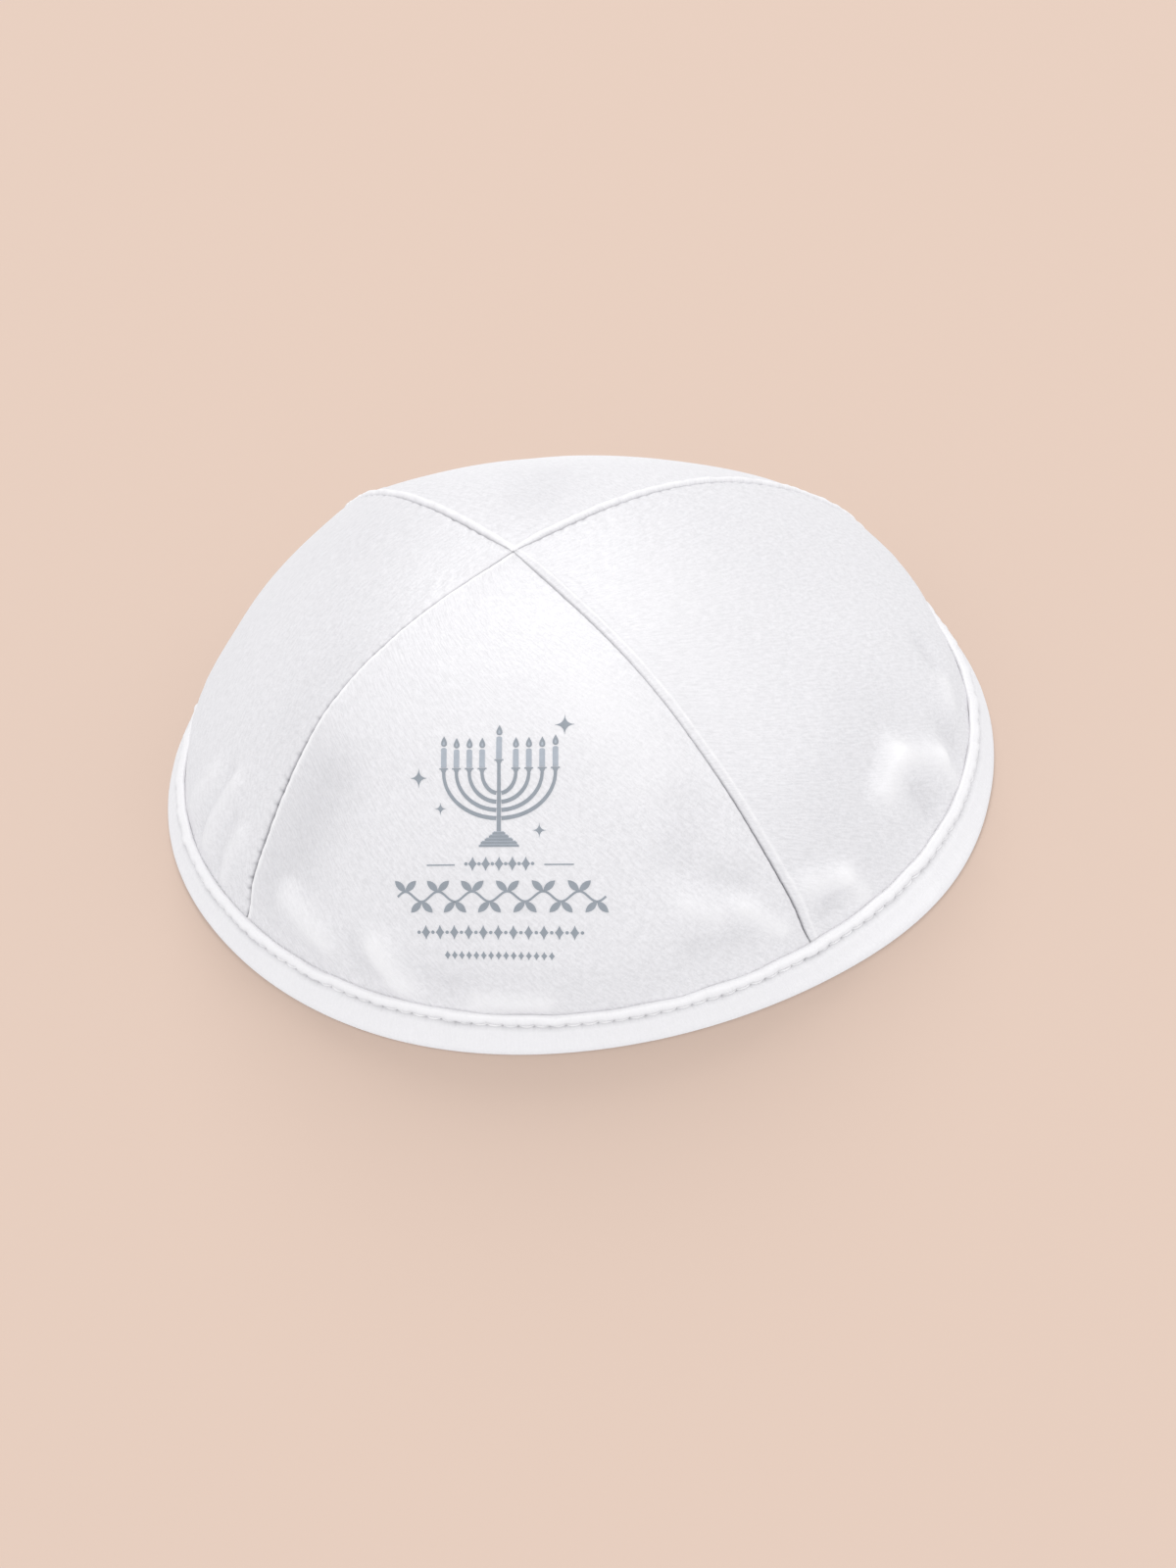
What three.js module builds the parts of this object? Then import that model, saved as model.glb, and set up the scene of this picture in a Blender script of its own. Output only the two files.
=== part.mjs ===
import * as THREE from "three";

// A four-panel satin skullcap, in millimetres, standing on its rim at z = 0.
// The front panel faces -Y, and the origin is the middle of the rim on the floor.

// Driving dimensions
const rimRadius = 84; // outside of the binding
const capHeight = 55; // floor to the crossing of the seams
const crossingShift = -8; // the crossing stands this far towards -X of the rim's middle
const panelCloth = 1.4; // satin, stiffening and lining together
const seamGap = 0.3; // between two panels, where their edges turn in
const seamDip = 0.35; // how far a panel's edge is drawn in at the stitching
const seamDipReach = 1.2;
const allowanceRise = 0.5; // the ridge of the allowance pressed to one side of a seam
const allowanceReach = 1.4;
const allowancePlace = 2.2; // from the seam to the top of that ridge
const bindingCloth = 0.9; // the folded strip, on each side of the rim
const bindingEase = 0.25; // between the strip and the panels
const bindingHeight = 8.2; // floor to the rolled upper edge
const insideHeight = 7.4; // floor to the strip's edge inside the cap
const rollHeight = 2.6; // the rolled edge above the stitches
const stitchDip = 0.4; // how far the stitches draw the strip in
const edgeRound = 1; // at the strip's lower edge
const edgeSwell = 0.5; // the strip stands out a little more where it folds under
const foldFade = 5; // cloth runs smooth into the binding over this height

const rows = 20; // levels of a panel above the binding

// What fits what
const footRadius = rimRadius - bindingCloth - bindingEase; // outside of the panels
const footHeight = bindingCloth + bindingEase; // lower edge of the panels
const stripTop = bindingHeight - bindingCloth / 2; // where the strip leaves the panels' outer face

// The outline of the dome along its seams
const seamOutline = [
  { height: 0, radius: 1 },
  { height: 0.15, radius: 0.952 },
  { height: 0.25, radius: 0.938 },
  { height: 0.36, radius: 0.9 },
  { height: 0.52, radius: 0.821 },
  { height: 0.68, radius: 0.715 },
  { height: 0.82, radius: 0.586 },
  { height: 0.92, radius: 0.426 },
  { height: 0.975, radius: 0.243 },
  { height: 1, radius: 0 },
];

// How round a panel stands between its seams: 1 is the round of the rim, 0 would be flat
const panelRound = [
  { height: 0, round: 1 },
  { height: 0.25, round: 0.97 },
  { height: 0.5, round: 0.87 },
  { height: 0.75, round: 0.67 },
  { height: 1, round: 0.51 },
];

// Seams: the diagonal, degrees off it at the rim, degrees it turns on its way up, how full it
// runs at half height, and the panel that its allowance is pressed under
const seams = [
  { diagonal: 45, off: 1, turn: 1, fullness: 0.07, under: "panel_back" },
  { diagonal: 135, off: 3, turn: 1, fullness: -0.01, under: "panel_back" },
  { diagonal: 225, off: -2, turn: 4, fullness: -0.03, under: "panel_front" },
  { diagonal: 315, off: -2, turn: 0, fullness: -0.01, under: "panel_right" },
];

const panels = [
  { name: "panel_right", start: 3, end: 0, fullness: -0.05 },
  { name: "panel_back", start: 0, end: 1, fullness: -0.04 },
  { name: "panel_left", start: 1, end: 2, fullness: -0.02 },
  { name: "panel_front", start: 2, end: 3, fullness: 0.17 },
];

// Soft folds and dents, each along a line from one place to another. A place is its share across
// the panel, -1 to 1, and its share of the cap's height; width and depth are shares of the rim's
// radius, and a depth below 0 stands out
const folds = [
  { on: "panel_left", from: [0.3, 0.17], to: [0.36, 0.34], width: 0.05, depth: 0.009 },
  { on: "panel_left", from: [0.52, 0.17], to: [0.6, 0.42], width: 0.045, depth: 0.011 },
  { on: "panel_left", from: [0.74, 0.17], to: [0.84, 0.4], width: 0.045, depth: 0.009 },
  { on: "panel_left", from: [0.62, 0.16], to: [0.72, 0.34], width: 0.035, depth: -0.007 },
  { on: "panel_right", from: [-0.36, 0.38], to: [-0.42, 0.3], width: 0.045, depth: 0.012 },
  { on: "panel_right", from: [-0.42, 0.3], to: [-0.56, 0.32], width: 0.045, depth: 0.01 },
  { on: "panel_right", from: [-0.46, 0.4], to: [-0.52, 0.38], width: 0.05, depth: -0.01 },
  { on: "panel_right", from: [0.28, 0.4], to: [0.28, 0.3], width: 0.05, depth: 0.008 },
  { on: "panel_right", from: [-0.12, 0.3], to: [-0.12, 0.24], width: 0.045, depth: 0.008 },
  { on: "panel_right", from: [-0.8, 0.2], to: [-0.72, 0.34], width: 0.05, depth: 0.008 },
  { on: "panel_front", from: [0.74, 0.5], to: [0.82, 0.26], width: 0.06, depth: 0.011 },
  { on: "panel_front", from: [-0.66, 0.3], to: [-0.6, 0.2], width: 0.06, depth: -0.008 },
  { on: "panel_front", from: [-0.5, 0.22], to: [-0.2, 0.2], width: 0.06, depth: 0.008 },
  { on: "panel_front", from: [0, 0.24], to: [0.2, 0.22], width: 0.06, depth: -0.007 },
  { on: "panel_back", from: [-0.3, 0.2], to: [-0.2, 0.42], width: 0.07, depth: 0.01 },
  { on: "panel_back", from: [0.45, 0.22], to: [0.4, 0.4], width: 0.06, depth: 0.009 },
];

// Places across half a panel, from the seam to its middle, close together at the seam
const halfAcross = [0, 0.015, 0.035, 0.06, 0.1, 0.17, 0.27, 0.39, 0.52, 0.68, 0.84, 1];
const across = [
  ...halfAcross.map((share) => share - 1),
  ...halfAcross.slice(0, -1).reverse().map((share) => 1 - share),
];

const satin = { color: 0xf4f3f6, roughness: 0.42, metalness: 0 };

const radians = THREE.MathUtils.degToRad;
const swell = (share) => 4 * share * (1 - share); // 0 at both ends, 1 at the middle
const bell = (distance, width) => Math.exp(-((distance / width) ** 2));
const smooth = (low, high, value) => THREE.MathUtils.smoothstep(value, low, high);

// A smooth curve through the points of a table, which never overshoots between two of them
function curveThrough(xs, ys) {
  const last = xs.length - 1;
  const gaps = xs.slice(1).map((x, i) => x - xs[i]);
  const slopes = gaps.map((gap, i) => (ys[i + 1] - ys[i]) / gap);
  const endTangent = (gap, nextGap, slope, nextSlope) => {
    const tangent = ((2 * gap + nextGap) * slope - gap * nextSlope) / (gap + nextGap);
    if (tangent * slope <= 0) return 0;
    return slope * nextSlope <= 0 && Math.abs(tangent) > 3 * Math.abs(slope) ? 3 * slope : tangent;
  };
  const tangents = xs.map((_, i) => {
    if (i === 0) return endTangent(gaps[0], gaps[1], slopes[0], slopes[1]);
    if (i === last) {
      return endTangent(gaps[last - 1], gaps[last - 2], slopes[last - 1], slopes[last - 2]);
    }
    if (slopes[i - 1] * slopes[i] <= 0) return 0;
    const before = gaps[i - 1] + 2 * gaps[i];
    const after = gaps[i] + 2 * gaps[i - 1];
    return (before + after) / (before / slopes[i - 1] + after / slopes[i]);
  });
  return (x) => {
    const found = xs.findIndex((end, i) => i > 0 && x <= end);
    const i = found < 0 ? last - 1 : found - 1;
    const s = THREE.MathUtils.clamp((x - xs[i]) / gaps[i], 0, 1);
    const rise = s * s * (3 - 2 * s);
    return (
      ys[i] * (1 - rise) +
      ys[i + 1] * rise +
      gaps[i] * s * (1 - s) * ((1 - s) * tangents[i] - s * tangents[i + 1])
    );
  };
}

// The seams' outline by the way along it, from 0 at the rim to 1 at the crossing
const wayAlong = [0];
seamOutline.slice(1).forEach((row, i) => {
  const before = seamOutline[i];
  const inward = (row.radius - before.radius) * footRadius;
  const up = (row.height - before.height) * capHeight;
  wayAlong.push(wayAlong[i] + Math.hypot(inward, up));
});
const outlineLength = wayAlong[wayAlong.length - 1];
const ways = wayAlong.map((way) => way / outlineLength);
const heightAlong = curveThrough(ways, seamOutline.map((row) => row.height));
const radiusAlong = curveThrough(ways, seamOutline.map((row) => row.radius));
const roundAt = curveThrough(panelRound.map((row) => row.height), panelRound.map((row) => row.round));

// The way along the outline at which it reaches a height
function wayAt(height) {
  let low = 0;
  let high = 1;
  for (let i = 0; i < 40; i++) {
    const middle = (low + high) / 2;
    if (heightAlong(middle) * capHeight < height) low = middle;
    else high = middle;
  }
  return low;
}

// Where a seam stands at a way along the outline, seen from above and from the dome's own axis
function seamPlace(seam, way) {
  const share = heightAlong(way);
  const angle = radians(seam.diagonal + seam.off + seam.turn * share);
  const radius = Math.max(radiusAlong(way) * footRadius, seamGap) * (1 + seam.fullness * swell(share));
  return new THREE.Vector2(radius * Math.cos(angle), radius * Math.sin(angle));
}

// One level of a panel: the two seams, and the arc that the cloth makes between them
function panelLevel(panel, way, gap) {
  const share = heightAlong(way);
  const start = seamPlace(seams[panel.start], way);
  const end = seamPlace(seams[panel.end], way);
  const middle = start.clone().add(end).divideScalar(2);
  const chord = end.clone().sub(start);
  const outward = new THREE.Vector2(chord.y, -chord.x).normalize();
  const meanRadius = (start.length() + end.length()) / 2;
  const halfChord = chord.length() / 2;
  const rimSagitta = meanRadius - middle.dot(outward);
  const sagitta = rimSagitta * (roundAt(share) + panel.fullness * swell(share));
  const arcRadius = (halfChord ** 2 + sagitta ** 2) / (2 * sagitta);
  const along = chord.clone().normalize();
  const reach = Math.max(halfChord - gap * Math.SQRT1_2, 0);
  return { share, middle, along, outward, reach, halfChord, sagitta, arcRadius };
}

// A place on the smooth dome, and the way out of the cap there
function domePlace(level, share) {
  const aside = level.reach * share;
  const out = Math.sqrt(level.arcRadius ** 2 - aside ** 2) - (level.arcRadius - level.sagitta);
  const flat = level.middle
    .clone()
    .addScaledVector(level.along, aside)
    .addScaledVector(level.outward, out);
  const aboveStrip = (level.share * capHeight - bindingHeight) / (capHeight - bindingHeight);
  const lean = (Math.max(aboveStrip, 0) * Math.PI) / 2;
  const round = flat.clone().normalize();
  return {
    place: new THREE.Vector3(flat.x + crossingShift * level.share, flat.y, level.share * capHeight),
    outward: new THREE.Vector3(
      round.x * Math.cos(lean),
      round.y * Math.cos(lean),
      Math.sin(lean),
    ),
  };
}

const foldLines = folds.map((fold) => {
  const panel = panels.find((one) => one.name === fold.on);
  const [from, to] = [fold.from, fold.to].map(([share, height]) => {
    const level = panelLevel(panel, wayAt(height * capHeight), 0);
    return domePlace(level, share).place;
  });
  return { ...fold, line: new THREE.Line3(from, to) };
});

// How far the folds and dents take the cloth in at a place
function foldDepth(place) {
  const nearest = new THREE.Vector3();
  const depth = foldLines.reduce((sum, fold) => {
    fold.line.closestPointToPoint(place, true, nearest);
    const near = bell(nearest.distanceTo(place), fold.width * rimRadius);
    return sum + fold.depth * rimRadius * near;
  }, 0);
  return depth * smooth(bindingHeight, bindingHeight + foldFade, place.z);
}

// How far the seam on one side lifts the cloth, and draws it in right at the stitching
function seamRelief(seam, panel, distance, level) {
  const room = smooth(0, 3 * allowancePlace, level.halfChord);
  const above = smooth(bindingHeight, bindingHeight + foldFade, level.share * capHeight);
  const ridge = seam.under === panel.name ? allowanceRise : 0;
  const lift = ridge * bell(distance - allowancePlace, allowanceReach);
  return (lift - seamDip * bell(distance, seamDipReach)) * room * above;
}

// A closed wall between two grids of points, whose last row is a single point in each
function wallBetween(outer, inner) {
  const points = [];
  const faces = [];
  const numbered = (grid) =>
    grid.map((row) => row.map((point) => points.push(point.x, point.y, point.z) / 3 - 1));
  const out = numbered(outer);
  const back = numbered(inner);
  for (const grid of [out, back]) grid[grid.length - 1].fill(grid[grid.length - 1][0]);
  const quad = (a, b, c, d) => {
    for (const corners of [[a, b, c], [a, c, d]]) {
      if (new Set(corners).size === 3) faces.push(...corners);
    }
  };
  const high = out.length - 1;
  const wide = out[0].length - 1;
  for (let i = 0; i < high; i++) {
    for (let j = 0; j < wide; j++) {
      quad(out[i][j], out[i][j + 1], out[i + 1][j + 1], out[i + 1][j]);
      quad(back[i][j + 1], back[i][j], back[i + 1][j], back[i + 1][j + 1]);
    }
    quad(back[i][0], out[i][0], out[i + 1][0], back[i + 1][0]);
    quad(out[i][wide], back[i][wide], back[i + 1][wide], out[i + 1][wide]);
  }
  for (let j = 0; j < wide; j++) quad(back[0][j], back[0][j + 1], out[0][j + 1], out[0][j]);
  return solidFrom(points, faces);
}

function solidFrom(points, faces) {
  const geometry = new THREE.BufferGeometry();
  geometry.setAttribute("position", new THREE.Float32BufferAttribute(points, 3));
  geometry.setIndex(faces);
  geometry.computeVertexNormals();
  return geometry;
}

function panelMesh(panel) {
  const stripWay = wayAt(stripTop);
  const outer = [];
  const inner = [];
  for (let i = -1; i <= rows; i++) {
    const way = i < 0 ? wayAt(footHeight) : stripWay + ((1 - stripWay) * i) / rows;
    const level = panelLevel(panel, way, seamGap);
    const sides = across.map((share) => {
      const { place, outward } = domePlace(level, share);
      const relief =
        seamRelief(seams[panel.start], panel, (1 + share) * level.reach, level) +
        seamRelief(seams[panel.end], panel, (1 - share) * level.reach, level);
      const cloth = place.clone().addScaledVector(outward, -foldDepth(place));
      return [
        cloth.clone().addScaledVector(outward, relief),
        cloth.clone().addScaledVector(outward, -panelCloth),
      ];
    });
    outer.push(sides.map(([face]) => face));
    inner.push(sides.map(([, face]) => face));
  }
  return named(panel.name, wallBetween(outer, inner));
}

// The strip's section: height, and distance out of the panels' outer face
function stripSection() {
  const face = bindingEase + bindingCloth;
  const swollen = face + edgeSwell;
  const back = -(panelCloth + bindingEase);
  const corner = edgeRound * (1 - Math.SQRT1_2);
  const stitch = bindingHeight - rollHeight;
  const turn = bindingCloth / 2;
  return [
    { out: swollen - edgeRound, height: 0 },
    { out: swollen - corner, height: corner },
    { out: swollen, height: edgeRound },
    { out: face + edgeSwell / 2, height: (edgeRound + stitch) / 2 },
    { out: face - stitchDip, height: stitch },
    { out: face + stitchDip / 4, height: stitch + (rollHeight - turn) / 2 },
    { out: face, height: stripTop },
    { out: bindingEase + turn, height: bindingHeight },
    { out: bindingEase, height: stripTop },
    { out: bindingEase, height: bindingCloth },
    { out: back, height: bindingCloth },
    { out: back, height: insideHeight - turn },
    { out: back - turn, height: insideHeight },
    { out: back - bindingCloth, height: insideHeight - turn },
    { out: back - bindingCloth, height: edgeRound },
    { out: back - bindingCloth + corner, height: corner },
    { out: back - bindingCloth + edgeRound, height: 0 },
  ];
}

function bindingMesh() {
  const section = stripSection();
  const size = section.length;
  const levels = panels.map((panel) =>
    section.map(({ height }) => panelLevel(panel, wayAt(height), 0)),
  );
  const points = [];
  panels.forEach((_, p) => {
    for (const share of across.slice(0, -1)) {
      section.forEach(({ out }, k) => {
        const { place, outward } = domePlace(levels[p][k], share);
        points.push(...place.addScaledVector(outward, out).toArray());
      });
    }
  });
  const steps = points.length / 3 / size;
  const faces = [];
  for (let i = 0; i < steps; i++) {
    for (let k = 0; k < size; k++) {
      const next = (k + 1) % size;
      const [a, b] = [i * size, ((i + 1) % steps) * size];
      faces.push(a + k, b + k, b + next, a + k, b + next, a + next);
    }
  }
  return named("rim_binding", solidFrom(points, faces));
}

function named(name, geometry) {
  const mesh = new THREE.Mesh(geometry, new THREE.MeshStandardMaterial(satin));
  mesh.name = name;
  return mesh;
}

const skullcap = new THREE.Group();
for (const panel of panels) skullcap.add(panelMesh(panel));
skullcap.add(bindingMesh());

export default skullcap;
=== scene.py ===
import math

import bpy
import numpy as np
from mathutils import Matrix, Vector


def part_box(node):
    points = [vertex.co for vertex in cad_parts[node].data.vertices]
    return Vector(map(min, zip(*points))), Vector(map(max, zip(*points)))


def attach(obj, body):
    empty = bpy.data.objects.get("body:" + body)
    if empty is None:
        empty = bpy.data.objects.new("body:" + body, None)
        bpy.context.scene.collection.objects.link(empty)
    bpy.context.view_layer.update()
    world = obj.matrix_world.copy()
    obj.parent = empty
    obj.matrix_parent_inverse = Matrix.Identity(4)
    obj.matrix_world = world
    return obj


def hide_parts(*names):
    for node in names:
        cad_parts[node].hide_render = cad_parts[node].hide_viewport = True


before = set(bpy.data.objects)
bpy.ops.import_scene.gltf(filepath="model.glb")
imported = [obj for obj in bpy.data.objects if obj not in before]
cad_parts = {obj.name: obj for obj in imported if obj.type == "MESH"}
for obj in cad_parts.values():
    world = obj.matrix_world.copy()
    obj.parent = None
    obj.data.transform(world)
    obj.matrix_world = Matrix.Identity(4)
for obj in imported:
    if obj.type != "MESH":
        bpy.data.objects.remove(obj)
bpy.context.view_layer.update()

# Lengths are in millimetres here, and each mesh is made in metres at the end
metre = 1000
scene = bpy.context.scene

capShape = {
    "rimRadius": round(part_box("rim_binding")[1].x * metre, 1),  # outside of the strip round the rim
    "capHeight": 55.0,  # floor to the crossing of the seams
    "stripHeight": 6.4,  # floor to the strip's rolled edge, a little below the solid's
    "crossingShift": -8.0,  # how far the seams' crossing lies to the right of the rim's middle
    "panelCloth": 1.4,  # thickness
    "stripCloth": 0.9,
    "stripEase": 0.25,  # between the strip and the panels
    # height and radius of the outline along the seams
    "outline": [
        (0, 1), (0.15, 0.952), (0.25, 0.938), (0.36, 0.9), (0.52, 0.821),
        (0.68, 0.715), (0.82, 0.586), (0.92, 0.426), (0.975, 0.243), (1, 0),
    ],
    # height, and how round a panel stands between its seams
    "round": [(0, 1), (0.25, 0.97), (0.5, 0.87), (0.75, 0.67), (1, 0.51)],
    # diagonal, degrees off it, degrees turned on the way up, fullness, panel over the turned-in cloth
    "seams": [
        (45, 1, 1, 0.07, "back"),
        (135, 3, 1, -0.01, "back"),
        (225, -2, 4, -0.03, "front"),
        (315, -2, 0, -0.01, "right"),
    ],
    # start seam, end seam, fullness
    "panels": {
        "right": (3, 0, -0.05),
        "back": (0, 1, -0.04),
        "left": (1, 2, -0.02),
        "front": (2, 3, 0.17),
    },
}
footHeight = capShape["stripCloth"] + capShape["stripEase"]
footRadius = capShape["rimRadius"] - footHeight


# Shared curves


def swell(share):
    return 4 * share * (1 - share)


def bell(distance, width):
    return np.exp(-((distance / width) ** 2))


def smoothStep(low, high, value):
    t = np.clip((value - low) / (high - low), 0, 1)
    return t * t * (3 - 2 * t)


def curveThrough(points):
    # a smooth curve through the points that never overshoots them
    xs, ys = np.array(points, float).T
    gaps = np.diff(xs)
    slopes = np.diff(ys) / gaps

    def endTangent(gap, nextGap, slope, nextSlope):
        tangent = ((2 * gap + nextGap) * slope - gap * nextSlope) / (gap + nextGap)
        if tangent * slope <= 0:
            return 0.0
        if slope * nextSlope <= 0 and abs(tangent) > 3 * abs(slope):
            return 3 * slope
        return tangent

    tangents = np.zeros(len(xs))
    tangents[0] = endTangent(gaps[0], gaps[1], slopes[0], slopes[1])
    tangents[-1] = endTangent(gaps[-1], gaps[-2], slopes[-1], slopes[-2])
    for i in range(1, len(xs) - 1):
        if slopes[i - 1] * slopes[i] > 0:
            before = gaps[i - 1] + 2 * gaps[i]
            after = gaps[i] + 2 * gaps[i - 1]
            tangents[i] = (before + after) / (before / slopes[i - 1] + after / slopes[i])

    def valueAt(x):
        i = np.clip(np.searchsorted(xs, x) - 1, 0, len(gaps) - 1)
        s = np.clip((x - xs[i]) / gaps[i], 0, 1)
        rise = s * s * (3 - 2 * s)
        bend = gaps[i] * s * (1 - s) * ((1 - s) * tangents[i] - s * tangents[i + 1])
        return ys[i] * (1 - rise) + ys[i + 1] * rise + bend

    return valueAt


def rippleAlong(rng, span, wavelength):
    # a loose ripple of size 1 along a line, as a sum of a few sines
    tones, draws = [0.6, 1.0, 1.7], (0.8, 1.25)
    steps = np.array(tones) / wavelength * rng.uniform(*draws, len(tones))
    phases = rng.uniform(0, 2 * math.pi, len(tones))
    return sum(np.sin(2 * math.pi * span * step + phase) for step, phase in zip(steps, phases)) / 2


# The dome that the four panels and the strip share


outlineHeights, outlineRadii = np.array(capShape["outline"]).T
outlineWays = np.concatenate([[0], np.cumsum(np.hypot(
    np.diff(outlineRadii) * footRadius, np.diff(outlineHeights) * capShape["capHeight"]))])
outlineWays /= outlineWays[-1]
heightAlong = curveThrough(list(zip(outlineWays, outlineHeights)))
radiusAlong = curveThrough(list(zip(outlineWays, outlineRadii)))
roundAt = curveThrough(capShape["round"])


def wayAt(height):
    # how far along the outline, from 0 to 1, a height in mm lies
    low, high = np.zeros(np.shape(height)), np.ones(np.shape(height))
    for _ in range(40):
        middle = (low + high) / 2
        below = heightAlong(middle) * capShape["capHeight"] < height
        low, high = np.where(below, middle, low), np.where(below, high, middle)
    return low


def seamPlace(seam, ways, gap):
    diagonal, off, turn, fullness, _ = capShape["seams"][seam]
    share = heightAlong(ways)
    angle = np.radians(diagonal + off + turn * share)
    radius = np.maximum(radiusAlong(ways) * footRadius, gap) * (1 + fullness * swell(share))
    return np.stack([radius * np.cos(angle), radius * np.sin(angle)], -1)


def domeSurface(panel, ways, across, gap=0.0):
    # the outer face of a panel, on a grid of rows up the dome and columns across it
    start, end, fullness = capShape["panels"][panel]
    share = heightAlong(ways)
    startPlace, endPlace = seamPlace(start, ways, gap), seamPlace(end, ways, gap)
    middle = (startPlace + endPlace) / 2
    chord = endPlace - startPlace
    width = np.hypot(chord[:, 0], chord[:, 1])
    half = width / 2
    along = chord / width[:, None]
    outward = np.stack([along[:, 1], -along[:, 0]], -1)
    meanRadius = (np.hypot(*startPlace.T) + np.hypot(*endPlace.T)) / 2
    bulge = meanRadius - (middle * outward).sum(-1)
    bulge *= roundAt(share) + fullness * swell(share)
    arc = (half**2 + bulge**2) / (2 * bulge)
    aside = np.maximum(half - gap * math.sqrt(0.5), 0)[:, None] * across[None]
    out = np.sqrt(arc[:, None] ** 2 - aside**2) - (arc - bulge)[:, None]
    flat = middle[:, None] + along[:, None] * aside[..., None] + outward[:, None] * out[..., None]
    places = np.zeros(flat.shape[:2] + (3,))
    places[..., :2] = flat
    places[..., 0] += capShape["crossingShift"] * share[:, None]
    places[..., 2] = (share * capShape["capHeight"])[:, None]
    return places


def gridNormals(places):
    across = np.gradient(places, axis=1)
    upward = np.gradient(places, axis=0)
    normals = np.cross(across, upward)
    size = np.linalg.norm(normals, axis=-1, keepdims=True)
    return np.where(size > 1e-9, normals / np.maximum(size, 1e-9), (0, 0, 1))


def stepsAlong(places, axis):
    # distance in mm along the grid's rows or columns, from their first point
    steps = np.linalg.norm(np.diff(places, axis=axis), axis=-1)
    first = np.zeros_like(np.take(steps, [0], axis))
    return np.concatenate([first, np.cumsum(steps, axis)], axis)


# Meshes


def placed(name, data):
    # an object in the scene that shows a mesh, light or camera
    made = bpy.data.objects.new(name, data)
    scene.collection.objects.link(made)
    return made


def newMesh(name, points, faces, looks=()):
    mesh = bpy.data.meshes.new(name)
    mesh.from_pydata((points / metre).tolist(), [], faces)
    for look in looks:
        mesh.materials.append(look)
    return mesh


def meshPiece(name, points, quads, looks, clothMap, crease, faceLooks=None, turns=(0, 0)):
    # turns are the lengths after which the cloth map starts again, where the cloth is a closed loop
    mesh = newMesh(name, points, quads.tolist(), looks)
    if faceLooks is not None:
        mesh.polygons.foreach_set("material_index", faceLooks.astype(np.int32))
    corners = np.zeros(len(mesh.loops), np.int32)
    mesh.loops.foreach_get("vertex_index", corners)
    cloth = clothMap[corners].reshape(len(quads), 4, 2)
    for k, turn in enumerate(turns):
        if turn:
            place = cloth[..., k]
            split = np.ptp(place, axis=1, keepdims=True) > turn / 2
            cloth[..., k] = np.where(split & (place < turn / 2), place + turn, place)
    layer = mesh.uv_layers.new(name="clothMap")
    layer.uv.foreach_set("vector", (cloth / metre).astype(np.float32).ravel())
    # crease carries the shade (above 0) and highlight (below 0) painted into the satin's colour
    layer = mesh.attributes.new("crease", "FLOAT", "POINT")
    layer.data.foreach_set("value", crease.astype(np.float32).ravel())
    mesh.shade_smooth()
    return placed(name, mesh)


def gridQuads(rows, columns, offset=0, closed=False, flip=False):
    ends = 0 if closed else 1
    i, j = np.meshgrid(np.arange(rows - ends), np.arange(columns - ends), indexing="ij")
    nextI, nextJ = (i + 1) % rows, (j + 1) % columns
    corners = [i * columns + j, i * columns + nextJ, nextI * columns + nextJ, nextI * columns + j]
    if flip:
        corners.reverse()
    return np.stack(corners, -1).reshape(-1, 4) + offset


def closedWall(rows, columns):
    # quads of an outer grid, an inner grid behind it and the edge between them
    inner = rows * columns
    ids = np.arange(rows * columns).reshape(rows, columns)
    edge = np.concatenate([ids[0, :-1], ids[:-1, -1], ids[-1, :0:-1], ids[:0:-1, 0]])
    nextEdge = np.roll(edge, -1)
    rim = np.stack([nextEdge, edge, edge + inner, nextEdge + inner], -1)
    front = gridQuads(rows, columns)
    behind = gridQuads(rows, columns, inner, flip=True)
    return front, behind, rim


# Materials


class Nodes:
    # short ways to add nodes to a tree and to join them
    def __init__(self, tree):
        self.tree = tree

    def join(self, node, links):
        for socket, source in links.items():
            if isinstance(source, bpy.types.NodeSocket):
                self.tree.links.new(source, node.inputs[socket])
            else:
                node.inputs[socket].default_value = source
        return node

    def add(self, kind, links=None, **settings):
        node = self.tree.nodes.new(kind)
        for key, value in settings.items():
            setattr(node, key, value)
        return self.join(node, links or {})

    def first(self, kind, links=None, **settings):
        return self.add(kind, links, **settings).outputs[0]

    def times(self, value, factor, **settings):
        return self.first("ShaderNodeMath", {0: value, 1: factor}, operation="MULTIPLY", **settings)

    def mix(self, share, one, other, **settings):
        return self.first("ShaderNodeMixRGB", {"Fac": share, "Color1": one, "Color2": other}, **settings)

    def noise(self, place, scale, detail, distortion=0.0):
        return self.first("ShaderNodeTexNoise", {"Vector": place, "Scale": scale, "Detail": detail,
                                                 "Distortion": distortion})

    def spread(self, value, source, target):
        return self.first("ShaderNodeMapRange", {"Value": value, "From Min": source[0], "From Max": source[1],
                                                 "To Min": target[0], "To Max": target[1]})

    def bump(self, height, strength, depth):
        return self.add("ShaderNodeBump", {"Height": height, "Strength": strength, "Distance": depth})


def newMaterial(name):
    material = bpy.data.materials.new(name)
    material.use_nodes = True
    return material, Nodes(material.node_tree), material.node_tree.nodes["Principled BSDF"]


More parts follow.
